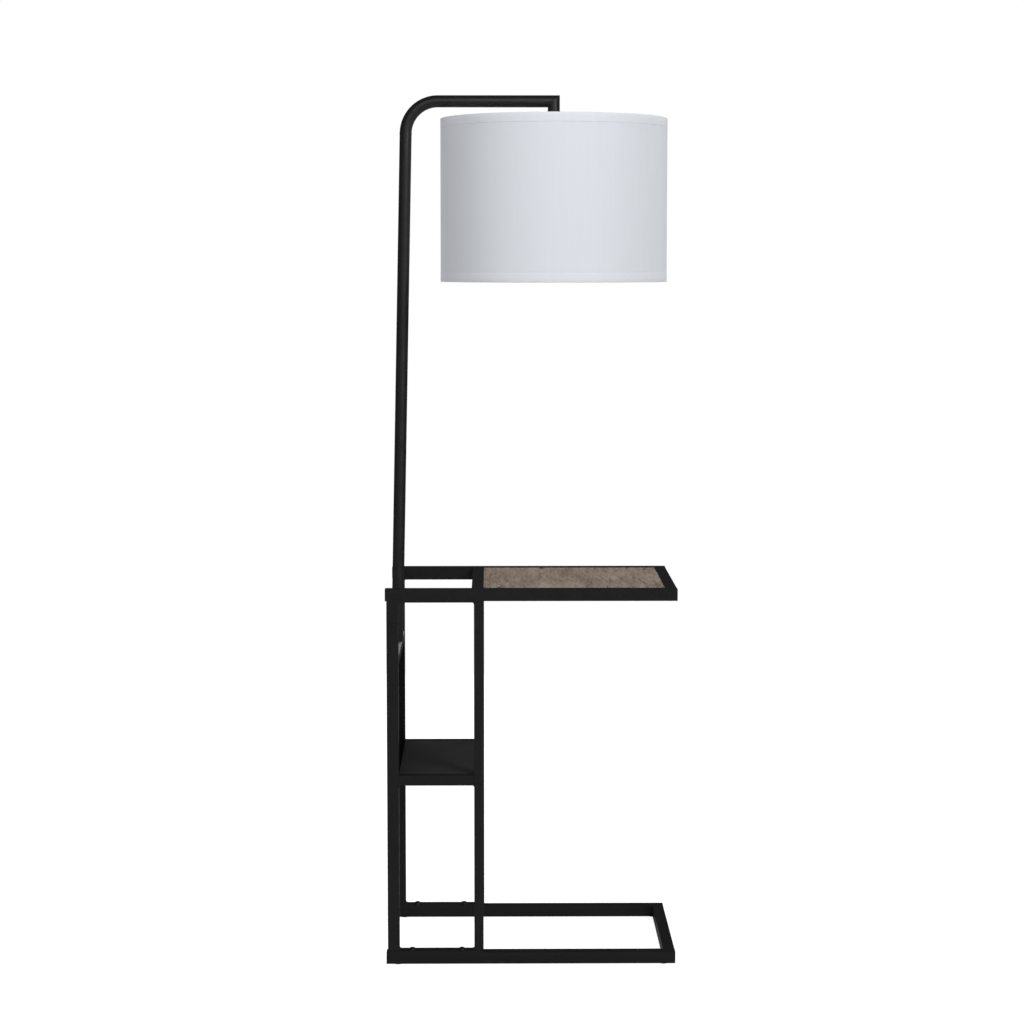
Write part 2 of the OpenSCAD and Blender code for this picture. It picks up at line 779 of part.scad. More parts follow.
// ---------- lamp holder ----------
module at_lamp() {
    translate([drop_x, 0, 0]) children();
}
module drop_plug() {
    tall = plug_flange + plug_len;
    color(black) at_lamp() difference() {
        union() {
            translate([0, 0, socket_top]) cylinder(h = plug_flange, r = pole_r);
            translate([0, 0, socket_top]) cylinder(h = tall, r = pole_in_r - sleeve_clear);
        }
        translate([0, 0, socket_top - cut])
            cylinder(h = tall + 2 * cut, d = nipple_d + 2 * sleeve_clear);
    }
}
module lamp_nipple() {
    low = nip_z1 - nipple_len;
    color(brass) at_lamp() difference() {
        translate([0, 0, low]) cylinder(h = nipple_len, d = nipple_d);
        translate([0, 0, low - cut]) cylinder(h = nipple_len + 2 * cut, d = nipple_bore);
    }
}
module socket_cap() {
    color(bakelite) at_lamp() difference() {
        translate([0, 0, fitter_z1]) cylinder(h = cap_h, r = cap_r);
        translate([0, 0, fitter_z1 - cut])
            cylinder(h = cap_h - cap_wall + cut, r = shell_r + sleeve_clear);
        translate([0, 0, fitter_z1]) cylinder(h = cap_h + cut, d = nipple_d + 2 * sleeve_clear);
    }
}
module socket_shell() {
    tall = shell_len + fitter_t + shell_engage;
    color(bakelite) at_lamp() difference() {
        translate([0, 0, shell_z0]) cylinder(h = tall, r = shell_r);
        translate([0, 0, shell_z0 - cut]) cylinder(h = tall + 2 * cut, r = shell_in_r);
    }
}
module socket_insulator() {
    color(opal) at_lamp() difference() {
        translate([0, 0, insulator_z0]) cylinder(h = insulator_t, r = shell_in_r - sleeve_clear);
        for (s = [-1, 1]) translate([s * wire_hole_gap / 2, 0, insulator_z0 - cut])
            cylinder(h = insulator_t + 2 * cut, d = wire_hole_d);
    }
}
module screw_shell() {
    low = insulator_z0 - screw_shell_h;
    color(brass) at_lamp() difference() {
        translate([0, 0, low]) cylinder(h = screw_shell_h, d = screw_shell_d);
        translate([0, 0, low - cut])
            cylinder(h = screw_shell_h - screw_shell_wall + cut, r = screw_in_r);
    }
}
// the switch's boss on the holder's right side, and its turning key
module switch_boss() {
    reach = shell_r + switch_len;
    color(bakelite) at_lamp() difference() {
        translate([0, 0, switch_z]) rotate([0, 90, 0]) cylinder(h = reach, d = switch_d);
        translate([0, 0, shell_z0 - cut]) cylinder(h = shell_len + 2 * cut, r = shell_r);
        translate([0, 0, switch_z]) rotate([0, 90, 0])
            cylinder(h = reach + cut, d = key_d + 2 * key_clear);
    }
}
module switch_key() {
    reach = shell_r + switch_len;
    shaft_from = shell_r + shell_wall / 2;
    paddle_at = reach + key_out - paddle_w / 2;
    color(bakelite) at_lamp() translate([0, 0, switch_z]) rotate([0, 90, 0]) union() {
        translate([0, 0, shaft_from]) cylinder(h = paddle_at - shaft_from, d = key_d);
        translate([0, 0, reach + key_gap]) cylinder(h = key_collar_t, d = key_collar_d);
        translate([0, paddle_t / 2, paddle_at]) rotate([90, 0, 0]) cylinder(h = paddle_t, d = paddle_w);
    }
}

// ---------- shade ----------
module wire_ring(z) {
    at_lamp() translate([0, 0, z]) rotate_extrude($fn = 128)
        translate([ring_line_r, 0]) circle(d = wire_d, $fn = 24);
}
// centre ring, spokes and top ring, welded
module shade_fitter() {
    in_r = shell_r + hole_clear;
    out_r = in_r + fitter_w;
    // each spoke's line starts over the middle of the centre ring's outer edge
    from_r = out_r - spoke_d / 2;
    from_z = fitter_z1 + spoke_d / 4;
    dx = ring_line_r - from_r;
    dz = ring_top_z - from_z;
    color(steel) {
        wire_ring(ring_top_z);
        at_lamp() difference() {
            union() {
                translate([0, 0, fitter_z0]) cylinder(h = fitter_t, r = out_r);
                for (k = [0:spokes - 1]) rotate([0, 0, 180 + k * 360 / spokes])
                    translate([from_r, 0, from_z]) rotate([0, atan2(dx, dz), 0])
                        cylinder(h = sqrt(dx * dx + dz * dz), d = spoke_d);
            }
            translate([0, 0, fitter_z0 - cut]) cylinder(h = fitter_t + 2 * cut, r = in_r);
            translate([0, 0, fitter_z1]) cylinder(h = cap_h, r = cap_r + hole_clear);
            translate([0, 0, fitter_z0 - spoke_d]) cylinder(h = spoke_d, r = out_r + spoke_d);
        }
    }
}
module shade_nut() {
    in_r = shell_r + sleeve_clear;
    color(bakelite) at_lamp() difference() {
        translate([0, 0, fitter_z0 - nut_h]) cylinder(h = nut_h, r = in_r + nut_w);
        translate([0, 0, fitter_z0 - nut_h - cut]) cylinder(h = nut_h + 2 * cut, r = in_r);
    }
}
module shade_ring() {
    color(steel) wire_ring(ring_low_z);
}
module shade_fabric() {
    color(linen) at_lamp() difference() {
        translate([0, 0, shade_z0]) cylinder(h = shade_h, d = shade_d, $fn = 180);
        translate([0, 0, shade_z0 - cut]) cylinder(h = shade_h + 2 * cut, r = fabric_in_r, $fn = 180);
    }
}
module hem(z) {
    color(hem_linen) at_lamp() difference() {
        translate([0, 0, z]) cylinder(h = hem_h, r = shade_d / 2 + hem_t, $fn = 180);
        translate([0, 0, z - cut]) cylinder(h = hem_h + 2 * cut, r = shade_d / 2, $fn = 180);
    }
}
module hem_top() { hem(shade_z1 - hem_h); }
module hem_bottom() { hem(shade_z0); }

// ---------- bulb ----------
module bulb_cap() {
    hollow_h = bulb_cap_h - bulb_taper_h - neck_gap;
    color(steel) at_lamp() difference() {
        union() {
            translate([0, 0, bulb_z1]) cylinder(h = bulb_cap_h - bulb_taper_h, d = bulb_cap_d);
            translate([0, 0, bulb_top - bulb_taper_h])
                cylinder(h = bulb_taper_h, d1 = bulb_cap_d, d2 = bulb_taper_d);
            translate([0, 0, bulb_top]) cylinder(h = tip_h, d = tip_d);
        }
        translate([0, 0, bulb_z1 - cut])
            cylinder(h = hollow_h + cut, d = bulb_cap_d - 2 * bulb_cap_wall);
    }
}
// outline of a bulb from its neck at z1 down to its tip at z0: the neck swells
// into the globe on a smooth step and meets its arc globe_from degrees above the middle
globe_from = 20;
swell_steps = 8;
arc_steps = 20;
function globe(r, neck_r, z1, z0) =
    let (mid = z0 + r, meet_r = r * cos(globe_from), meet_z = mid + r * sin(globe_from))
    concat([[neck_r, z1]],
        [for (k = [0:swell_steps - 1])
            let (t = k / swell_steps, step = t * t * (3 - 2 * t), from_z = z1 - neck_in)
            [neck_r + (meet_r - neck_r) * step, from_z + (meet_z - from_z) * t]],
        [for (k = [0:arc_steps])
            let (a = globe_from - k * (90 + globe_from) / arc_steps)
            [r * cos(a), mid + r * sin(a)]]);
module bulb_solid(r, neck_r, z1, z0) {
    rotate_extrude($fn = 96) polygon(concat([[0, z0], [0, z1]], globe(r, neck_r, z1, z0)));
}
module bulb_glass() {
    neck_r = bulb_cap_d / 2 - bulb_cap_wall - neck_gap;
    z1 = bulb_z1 + neck_in;
    z0 = bulb_z1 - bulb_len;
    color(opal) at_lamp() difference() {
        bulb_solid(bulb_d / 2, neck_r, z1, z0);
        bulb_solid(bulb_d / 2 - glass_t, neck_r - glass_t, z1 + cut, z0 + glass_t);
    }
}

base_front_rail();
base_back_rail();
base_end_rail();
base_end_caps();
base_glides();
foot_plates();
base_bolts();
lower_left_front();
lower_left_back();
lower_mid_front();
lower_mid_back();
head_plates();
joint_screws();
shelf_front_rail();
shelf_back_rail();
shelf_left_rail();
shelf_mid_rail();
shelf_panel();
side_panel();
pan_screws();
upper_left_front();
upper_left_back();
upper_mid_front();
upper_mid_back();
top_plates();
top_screws();
top_front_rail();
top_back_rail();
top_end_rail();
top_mid_rail();
board_ledges();
table_board();
board_screws();
top_end_caps();
pole_bar();
pole_foot();
pole_lower();
cord_grommet();
pole_sleeve();
pole_stay();
pole_upper();
arm_sleeve();
arm_tube();
arm_drop();
drop_plug();
lamp_nipple();
socket_cap();
socket_shell();
socket_insulator();
screw_shell();
switch_boss();
switch_key();
shade_fitter();
shade_nut();
shade_ring();
shade_fabric();
hem_top();
hem_bottom();
bulb_cap();
bulb_glass();
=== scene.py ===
"""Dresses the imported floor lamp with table: materials, a linen shade, and small moulded parts.

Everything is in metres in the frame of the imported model: +Z up, the floor at z = 0, the front at -Y.
"""
import json
import math

import bmesh
import bpy
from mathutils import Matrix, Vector


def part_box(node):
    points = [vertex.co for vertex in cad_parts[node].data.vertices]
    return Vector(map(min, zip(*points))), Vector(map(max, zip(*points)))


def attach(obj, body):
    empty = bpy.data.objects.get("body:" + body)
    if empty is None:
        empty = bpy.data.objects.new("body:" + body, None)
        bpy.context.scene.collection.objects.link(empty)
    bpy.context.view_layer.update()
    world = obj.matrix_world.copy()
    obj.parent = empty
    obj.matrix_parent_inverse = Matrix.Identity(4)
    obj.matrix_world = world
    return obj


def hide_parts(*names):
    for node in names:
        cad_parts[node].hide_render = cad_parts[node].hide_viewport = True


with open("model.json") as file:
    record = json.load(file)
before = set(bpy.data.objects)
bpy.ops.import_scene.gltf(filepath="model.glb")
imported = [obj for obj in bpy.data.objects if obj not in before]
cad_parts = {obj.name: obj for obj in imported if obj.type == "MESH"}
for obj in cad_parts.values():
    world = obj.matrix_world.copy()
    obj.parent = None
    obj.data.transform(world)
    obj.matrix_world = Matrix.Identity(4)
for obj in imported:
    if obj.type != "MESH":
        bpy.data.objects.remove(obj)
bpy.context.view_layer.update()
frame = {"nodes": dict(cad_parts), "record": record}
NODES = frame["nodes"]
MM = 0.001
IMAGE = 1024  # side of the square picture, in pixels


# ---------- camera ----------
CAMERA_AT = (-0.064, -3.938, 1.210)
CAMERA_PITCH = 5.13  # degrees below the horizon
CAMERA_YAW = 0.47  # degrees to the right
FOCAL_PX = 2241.6  # focal length, in pixels of the picture
RAISE_PX = 48.0  # how far above the picture's middle the camera's axis meets it
SENSOR = 36.0  # mm


def make_camera():
    data = bpy.data.cameras.new("camera")
    camera = bpy.data.objects.new("camera", data)
    bpy.context.scene.collection.objects.link(camera)
    bpy.context.scene.camera = camera
    data.sensor_width = SENSOR
    data.lens = FOCAL_PX * SENSOR / IMAGE
    data.shift_y = -RAISE_PX / IMAGE
    data.clip_start, data.clip_end = 0.1, 50
    camera.location = CAMERA_AT
    camera.rotation_euler = (math.radians(90 - CAMERA_PITCH), 0, math.radians(-CAMERA_YAW))


# ---------- light and floor ----------
# name, place, target, size in metres, watts, and whether glossy surfaces show the light like a window
LIGHTS = (
    ("key", (2.4, -3.4, 3.3), (0, 0, 1.0), (1.6, 1.8), 123, True),
    ("fill", (-3.0, -2.9, 2.7), (0, 0, 0.9), (2.0, 2.4), 48, False),
    ("front", (-0.6, -4.4, 2.9), (0, 0, 0.8), (2.0, 1.6), 23, True),
    ("back_right", (2.9, 3.0, 2.8), (0, 0, 0.9), (2.4, 2.4), 64, False),
    ("back_left", (-2.6, 3.3, 2.6), (0, 0, 0.9), (2.4, 2.4), 52, False),
)
AMBIENT_TINT = (0.97, 0.985, 1.0, 1)
AMBIENT_FRONT = 0.36  # the room's dim light, from the front of the room
AMBIENT_BACK = 0.12  # and from behind the lamp
AMBIENT_MIRRORED = 0.45  # the share of it that glossy surfaces show
FLOOR_HALF = 2.6
FLOOR_GLOW = 0.85  # lights the floor up to white for the camera; to the lamp it is mid grey


def area_light(name, at, target, size, watts, mirrored):
    data = bpy.data.lights.new(name, "AREA")
    data.shape = "RECTANGLE"
    data.size, data.size_y = size
    data.energy = watts
    light = bpy.data.objects.new(name, data)
    light.visible_glossy = mirrored
    bpy.context.scene.collection.objects.link(light)
    light.location = at
    light.rotation_euler = (Vector(target) - Vector(at)).to_track_quat("-Z", "Y").to_euler()


def make_world():
    """White to the camera; to the lamp a dim room, darker behind it and dimmer still in reflections."""
    world = bpy.data.worlds.new("studio")
    world.use_nodes = True
    bpy.context.scene.world = world
    tree = world.node_tree
    backdrop = tree.nodes["Background"]
    backdrop.inputs["Color"].default_value = (1, 1, 1, 1)
    backdrop.inputs["Strength"].default_value = 1.0
    fill = tree.nodes.new("ShaderNodeBackground")
    fill.inputs["Color"].default_value = AMBIENT_TINT
    way = tree.nodes.new("ShaderNodeTexCoord")
    split = tree.nodes.new("ShaderNodeSeparateXYZ")
    dim = tree.nodes.new("ShaderNodeMapRange")
    for socket, number in zip(("From Min", "From Max", "To Min", "To Max"),
                              (-1, 1, AMBIENT_FRONT, AMBIENT_BACK)):
        dim.inputs[socket].default_value = number
    tree.links.new(way.outputs["Generated"], split.inputs[0])
    tree.links.new(split.outputs["Y"], dim.inputs["Value"])
    path = tree.nodes.new("ShaderNodeLightPath")
    share = tree.nodes.new("ShaderNodeMapRange")
    share.inputs["To Min"].default_value = 1.0
    share.inputs["To Max"].default_value = AMBIENT_MIRRORED
    tree.links.new(path.outputs["Is Glossy Ray"], share.inputs["Value"])
    product = tree.nodes.new("ShaderNodeMath")
    product.operation = "MULTIPLY"
    tree.links.new(dim.outputs["Result"], product.inputs[0])
    tree.links.new(share.outputs["Result"], product.inputs[1])
    tree.links.new(product.outputs[0], fill.inputs["Strength"])
    mix = tree.nodes.new("ShaderNodeMixShader")
    tree.links.new(path.outputs["Is Camera Ray"], mix.inputs[0])
    tree.links.new(fill.outputs[0], mix.inputs[1])
    tree.links.new(backdrop.outputs[0], mix.inputs[2])
    tree.links.new(mix.outputs[0], tree.nodes["World Output"].inputs["Surface"])


def make_studio():
    scene = bpy.context.scene
    scene.view_settings.view_transform = "Standard"
    make_world()
    for row in LIGHTS:
        area_light(*row)
    mesh = bpy.data.meshes.new("floor")
    h = FLOOR_HALF
    mesh.from_pydata([(-h, -h, 0), (h, -h, 0), (h, h, 0), (-h, h, 0)], [], [(0, 1, 2, 3)])
    floor = bpy.data.objects.new("floor", mesh)
    scene.collection.objects.link(floor)
    mesh.materials.append(floor_white())


# ---------- materials ----------
class Look:
    """A material's node tree, with short calls for the nodes used here."""

    def __init__(self, name):
        self.material = bpy.data.materials.new(name)
        self.material.use_nodes = True
        self.tree = self.material.node_tree
        self.shader = self.tree.nodes["Principled BSDF"]

    def node(self, kind, **settings):
        made = self.tree.nodes.new("ShaderNode" + kind)
        for key, value in settings.items():
            setattr(made, key, value)
        return made

    def link(self, source, target):
        self.tree.links.new(source, target)

    def set(self, **values):
        """Sets sockets of the shader; underscores in a name stand for spaces."""
        for key, value in values.items():
            self.shader.inputs[key.replace("_", " ")].default_value = value

    def coords(self, output="Object", scale=(1, 1, 1), turn=(0, 0, 0)):
        source = self.node("TexCoord")
        mapping = self.node("Mapping")
        mapping.inputs["Scale"].default_value = scale
        mapping.inputs["Rotation"].default_value = turn
        self.link(source.outputs[output], mapping.inputs["Vector"])
        return mapping.outputs["Vector"]

    def noise(self, vector, scale, detail=2.0, rough=0.5, distort=0.0):
        made = self.node("TexNoise")
        made.inputs["Scale"].default_value = scale
        made.inputs["Detail"].default_value = detail
        made.inputs["Roughness"].default_value = rough
        made.inputs["Distortion"].default_value = distort
        self.link(vector, made.inputs["Vector"])
        return made.outputs["Fac"]

    def ramp(self, factor, stops):
        """stops is [(position, colour or grey)]."""
        made = self.node("ValToRGB")
        elements = made.color_ramp.elements
        while len(elements) < len(stops):
            elements.new(0.5)
        for element, (position, value) in zip(elements, stops):
            element.position = position
            element.color = (*value, 1) if isinstance(value, tuple) else (value, value, value, 1)
        self.link(factor, made.inputs["Fac"])
        return made.outputs["Color"]

    def span(self, value, low, high, new_low, new_high):
        made = self.node("MapRange")
        ends = {"From Min": low, "From Max": high, "To Min": new_low, "To Max": new_high}
        for name, number in ends.items():
            made.inputs[name].default_value = number
        self.link(value, made.inputs["Value"])
        return made.outputs["Result"]

    def math(self, operation, a, b=0):
        made = self.node("Math", operation=operation)
        for socket, value in zip(made.inputs, (a, b)):
            if isinstance(value, (int, float)):
                socket.default_value = value
            else:
                self.link(value, socket)
        return made.outputs[0]

    def mix(self, factor, a, b, blend="MIX"):
        made = self.node("Mix", data_type="RGBA", blend_type=blend)
        for socket, value in ((made.inputs[0], factor), (made.inputs[6], a), (made.inputs[7], b)):
            if isinstance(value, (int, float)):
                socket.default_value = value
            elif isinstance(value, tuple):
                socket.default_value = (*value, 1)
            else:
                self.link(value, socket)
        return made.outputs[2]

    def bump(self, height, strength, distance, under=None):
        made = self.node("Bump")
        made.inputs["Strength"].default_value = strength
        made.inputs["Distance"].default_value = distance
        self.link(height, made.inputs["Height"])
        if under is not None:
            self.link(under, made.inputs["Normal"])
        return made.outputs["Normal"]

    def feed(self, **sources):
        """Links outputs to the shader's sockets."""
        for key, source in sources.items():
            self.link(source, self.shader.inputs[key.replace("_", " ")])


def floor_white():
    look = Look("floor_white")
    look.set(Roughness=0.9)
    grain = look.noise(look.coords(), 30, 3)
    look.feed(Base_Color=look.ramp(grain, [(0.3, 0.44), (0.7, 0.46)]))
    path = look.node("LightPath")
    glow = look.math("MULTIPLY", path.outputs["Is Camera Ray"], FLOOR_GLOW)
    look.set(Emission_Color=(1, 1, 1, 1))
    look.feed(Emission_Strength=glow)
    return look.material


COAT_DARK = 0.0044
COAT_LIGHT = 0.0068


def powder_coat(name, rough=0.45, along=(1, 1, 1), shine=0.32):
    """Satin black powder coat: fine orange peel, and faint lines along the drawn tube under it."""
    look = Look(name)
    look.set(Specular_IOR_Level=shine)
    where = look.coords()
    clouds = look.noise(where, 14, 4, 0.6)
    lines = look.noise(look.coords(scale=along), 260, 3, 0.6)
    tone = look.math("ADD", look.math("MULTIPLY", clouds, 0.5), look.math("MULTIPLY", lines, 0.5))
    look.feed(Base_Color=look.ramp(tone, [(0.35, COAT_DARK), (0.65, COAT_LIGHT)]))
    patches = look.noise(where, 55, 3)
    look.feed(Roughness=look.span(patches, 0.3, 0.7, rough - 0.05, rough + 0.06))
    peel = look.noise(where, 900, 2, 0.4)
    grit = look.noise(where, 3200, 1)
    look.feed(Normal=look.bump(grit, 0.10, 0.00005, look.bump(peel, 0.14, 0.00012)))
    return look.material


def painted_shade_black():
    """The side panel's black, darker and duller than the frame's coat: painted shade for the dim gap
    between the left uprights.
    """
    look = Look("painted_shade_black")
    look.set(Specular_IOR_Level=0.01)
    clouds = look.noise(look.coords(), 18, 4, 0.6)
    # painted shade: a near-black well below the frame's coat
    look.feed(Base_Color=look.ramp(clouds, [(0.3, 0.0018), (0.7, 0.0032)]))
    look.feed(Roughness=look.span(look.noise(look.coords(), 60, 2), 0.3, 0.7, 0.74, 0.84))
    look.feed(Normal=look.bump(look.noise(look.coords(), 1400, 1), 0.12, 0.00008))
    return look.material


def painted_highlight_steel(name, black_below):
    """Light grey as a painted highlight along top edges. With black_below only the upward faces are grey
    and the rest is black.
    """
    look = Look(name)
    look.set(Specular_IOR_Level=0.3)
    where = look.coords()
    grey_streaks = look.noise(look.coords(scale=(1, 0.1, 1)), 180, 3, 0.6)
    colour = look.ramp(grey_streaks, [(0.3, (0.30, 0.30, 0.30)), (0.7, (0.40, 0.40, 0.39))])
    if black_below:
        paint = look.ramp(look.noise(where, 14, 4, 0.6), [(0.3, COAT_DARK), (0.7, COAT_LIGHT)])
        split = look.node("SeparateXYZ")
        look.link(look.node("NewGeometry").outputs["Normal"], split.inputs[0])
        # painted highlight: faces that point up are light grey, standing in for light along the top
        highlight_faces = look.span(split.outputs["Z"], 0.80, 0.95, 0.0, 1.0)
        colour = look.mix(highlight_faces, paint, colour)
    look.feed(Base_Color=colour)
    look.feed(Roughness=look.span(grey_streaks, 0.3, 0.7, 0.46, 0.56))
    look.feed(Normal=look.bump(look.noise(where, 900, 2), 0.14, 0.00012))
    return look.material


def moulded_plastic(name, grey, rough, texture=0.06):
    look = Look(name)
    where = look.coords()
    look.feed(Base_Color=look.ramp(look.noise(where, 60, 3), [(0.3, grey * 0.85), (0.7, grey * 1.15)]))
    look.feed(Roughness=look.span(look.noise(where, 220, 2), 0.3, 0.7, rough - 0.04, rough + 0.05))
    look.feed(Normal=look.bump(look.noise(where, 2600, 1), texture, 0.00005))
    return look.material


def drawn_metal(name, dark, light, rough, along=(1, 1, 0.05)):
    """Metal with fine drawing lines along one direction."""
    look = Look(name)
    look.set(Metallic=1.0)
    lines = look.noise(look.coords(scale=along), 2400, 2)
    clouds = look.noise(look.coords(), 90, 3)
    look.feed(Base_Color=look.ramp(clouds, [(0.3, dark), (0.7, light)]))
    look.feed(Roughness=look.span(lines, 0.3, 0.7, rough - 0.07, rough + 0.08))
    look.feed(Normal=look.bump(lines, 0.08, 0.00004))
    return look.material


RING_SPACING = 0.015  # how far apart the oak's year rings run, in metres
RING_WANDER = 0.085  # how far they stray
CHECK_SPACING = 0.030  # the same for its checks
CHECK_WANDER = 0.055
CHECK_HALF = 0.0006  # half the width of a check's darkest part, which fades out to three times this


def off_wavy_line(look, spacing, wander, waves, turn):
    """How far a place lies from the nearest wavy line that runs front to back, as a share of spacing."""
    sideways = look.noise(look.coords(scale=(1, 0.45, 1)), waves, 4, 0.62)
    across = look.node("SeparateXYZ")
    look.link(look.coords(turn=(0, 0, turn)), across.inputs[0])
    moved = look.math("ADD", across.outputs["X"], look.math("MULTIPLY", sideways, wander))
    cell = look.math("FRACT", look.math("DIVIDE", moved, spacing))
    return look.math("ABSOLUTE", look.math("SUBTRACT", cell, 0.5))


def weathered_oak():
    """Grey-brown oak: wavy grain and streaks from front to back, and dark wandering checks."""
    look = Look("weathered_oak")
    # slow bands across the board, drawn out from front to back and a little slanted
    bands = look.noise(look.coords(scale=(1, 0.22, 1), turn=(0, 0, 0.10)), 26, 4, 0.55, 0.6)
    streaks = look.noise(look.coords(scale=(1, 0.09, 1), turn=(0, 0, 0.06)), 300, 4, 0.65, 0.4)
    pores = look.noise(look.coords(scale=(1, 0.10, 1), turn=(0, 0, 0.08)), 1500, 2, 0.6)
    rings = off_wavy_line(look, RING_SPACING, RING_WANDER, 12, -0.04)
    drawn = look.span(look.noise(look.coords(scale=(1, 0.4, 1)), 30, 2), 0.40, 0.60, 0.10, 0.85)
    ground = look.ramp(bands, [(0.30, (0.212, 0.163, 0.122)), (0.52, (0.300, 0.236, 0.182)),
                               (0.72, (0.372, 0.304, 0.243))])
    veins = look.ramp(streaks, [(0.30, 0.50), (0.52, 1.0), (0.75, 1.18)])
    year = look.ramp(rings, [(0.0, 0.45), (0.06, 0.78), (0.13, 1.0), (0.5, 1.06)])
    fine = look.ramp(pores, [(0.34, 0.70), (0.50, 1.0)])
    colour = look.mix(0.8, ground, veins, "MULTIPLY")
    colour = look.mix(drawn, colour, year, "MULTIPLY")
    colour = look.mix(0.55, colour, fine, "MULTIPLY")
    # checks: dark lines from front to back that wander sideways, kept to a few places
    away = off_wavy_line(look, CHECK_SPACING, CHECK_WANDER, 34, 0.08)
    line = look.span(away, CHECK_HALF / CHECK_SPACING, 3 * CHECK_HALF / CHECK_SPACING, 1.0, 0.0)
    places = look.span(look.noise(look.coords(scale=(1, 0.6, 1)), 15, 1), 0.50, 0.57, 0.0, 1.0)
    checks = look.math("MULTIPLY", line, places)
    colour = look.mix(checks, colour, (0.070, 0.052, 0.040))
    look.feed(Base_Color=colour)
    look.feed(Roughness=look.span(streaks, 0.3, 0.7, 0.72, 0.60))
    relief = look.math("SUBTRACT", look.math("ADD", streaks, look.math("MULTIPLY", pores, 0.5)), checks)
    look.feed(Normal=look.bump(relief, 0.35, 0.0004))
    return look.material


def black_lacquer():
    """The shelf's board: black lacquer over a closed grain."""
    look = Look("black_lacquer")
    look.set(Specular_IOR_Level=0.3)
    grain = look.noise(look.coords(scale=(0.08, 1, 1)), 260, 3, 0.6)
    look.feed(Base_Color=look.ramp(grain, [(0.3, 0.020), (0.7, 0.029)]))
    look.feed(Roughness=look.span(grain, 0.3, 0.7, 0.44, 0.56))
    look.feed(Normal=look.bump(grain, 0.06, 0.0002))
    return look.material


THREAD = 0.00045  # spacing of the linen's threads, in metres
WAVE_RATE = 20  # a wave texture turns this many radians per scaled metre


def linen(name, low, high, slub=1.0):
    """Plain-woven linen. Its UV map runs in metres: u round the shade, v up it."""
    look = Look(name)
    look.set(Sheen_Weight=0.12, Sheen_Roughness=0.5, Specular_IOR_Level=0.15)
    warp = look.noise(look.coords("UV", (1, 0.018, 1)), 900, 3, 0.6)
    weft = look.noise(look.coords("UV", (0.022, 1, 1)), 1100, 3, 0.6)
    slubs = look.noise(look.coords("UV", (1, 0.035, 1)), 150, 3, 0.55)
    broad = look.noise(look.coords("UV", (1, 0.10, 1)), 26, 2, 0.5)
    threads = look.math("ADD", look.math("MULTIPLY", warp, 0.6), look.math("MULTIPLY", weft, 0.4))
    cloth = look.math("ADD", look.math("MULTIPLY", threads, 0.60),
                      look.math("ADD", look.math("MULTIPLY", slubs, 0.26 * slub),
                                look.math("MULTIPLY", broad, 0.14)))
    look.feed(Base_Color=look.ramp(cloth, [(0.36, low), (0.64, high)]))
    look.feed(Roughness=look.span(threads, 0.3, 0.7, 0.95, 0.80))
    # the weave itself: two crossed waves, half a wave to a thread
    weave = []
    for axis in ("X", "Y"):
        wave = look.node("TexWave", wave_type="BANDS", bands_direction=axis, wave_profile="SIN")
        wave.inputs["Scale"].default_value = math.pi / (WAVE_RATE * THREAD)
        wave.inputs["Distortion"].default_value = 0.6
        look.link(look.coords("UV"), wave.inputs["Vector"])
        weave.append(wave.outputs["Fac"])
    crossed = look.math("ADD", weave[0], weave[1])
    relief = look.bump(look.math("ADD", threads, slubs), 0.25, 0.0003)
    look.feed(Normal=look.bump(crossed, 0.10, 0.0001, relief))
    return look.material


def shade_lining():
    look = Look("shade_lining")
    clouds = look.noise(look.coords(), 12, 3)
    look.feed(Base_Color=look.ramp(clouds, [(0.3, (0.80, 0.80, 0.79)), (0.7, (0.84, 0.84, 0.83))]))
    look.feed(Roughness=look.span(look.noise(look.coords(), 70, 2), 0.3, 0.7, 0.42, 0.52))
    look.feed(Normal=look.bump(look.noise(look.coords(), 700, 2), 0.05, 0.0001))
    return look.material


def glazed_white():
    look = Look("glazed_white")
    look.set(Coat_Weight=0.6, Coat_Roughness=0.08)
    clouds = look.noise(look.coords(), 120, 3)
    look.feed(Base_Color=look.ramp(clouds, [(0.3, (0.78, 0.77, 0.73)), (0.7, (0.84, 0.83, 0.79))]))
    look.feed(Roughness=look.span(clouds, 0.3, 0.7, 0.22, 0.32))
    return look.material


def opal_glass():
    look = Look("opal_glass")
    look.set(Subsurface_Weight=0.25, Subsurface_Scale=0.004, Coat_Weight=0.5, Coat_Roughness=0.05)
    clouds = look.noise(look.coords(), 40, 2)
    look.feed(Base_Color=look.ramp(clouds, [(0.3, (0.88, 0.88, 0.86)), (0.7, (0.92, 0.92, 0.90))]))
    look.feed(Roughness=look.span(clouds, 0.3, 0.7, 0.16, 0.24))
    return look.material


LOOKS = {
    "frame_black": powder_coat("powder_black"),
    "black_plastic": moulded_plastic("matt_plastic", 0.012, 0.6, 0.15),
    "holder_black": moulded_plastic("gloss_plastic", 0.010, 0.25),
    "oak_board": weathered_oak(),
    "shelf_board": black_lacquer(),
    "bright_steel": drawn_metal("zinc", (0.42, 0.43, 0.45), (0.56, 0.57, 0.58), 0.34),
    "brass": drawn_metal("brass", (0.58, 0.40, 0.16), (0.72, 0.52, 0.24), 0.28),
    "porcelain": glazed_white(),
    "shade_linen": linen("linen", (0.680, 0.701, 0.739), (0.706, 0.727, 0.767)),
    "hem_linen": linen("hem_linen", (0.705, 0.725, 0.765), (0.738, 0.758, 0.798), 0.4),
    "opal_glass": opal_glass(),
}
LINING = shade_lining()
TUBES = {axis: powder_coat("powder_along_" + axis, along=along)
         for axis, along in (("x", (0.02, 1, 1)), ("y", (1, 0.02, 1)), ("z", (1, 1, 0.02)))}
POLE_BLACK = powder_coat("powder_pole", 0.42, (1, 1, 0.02), shine=0.50)
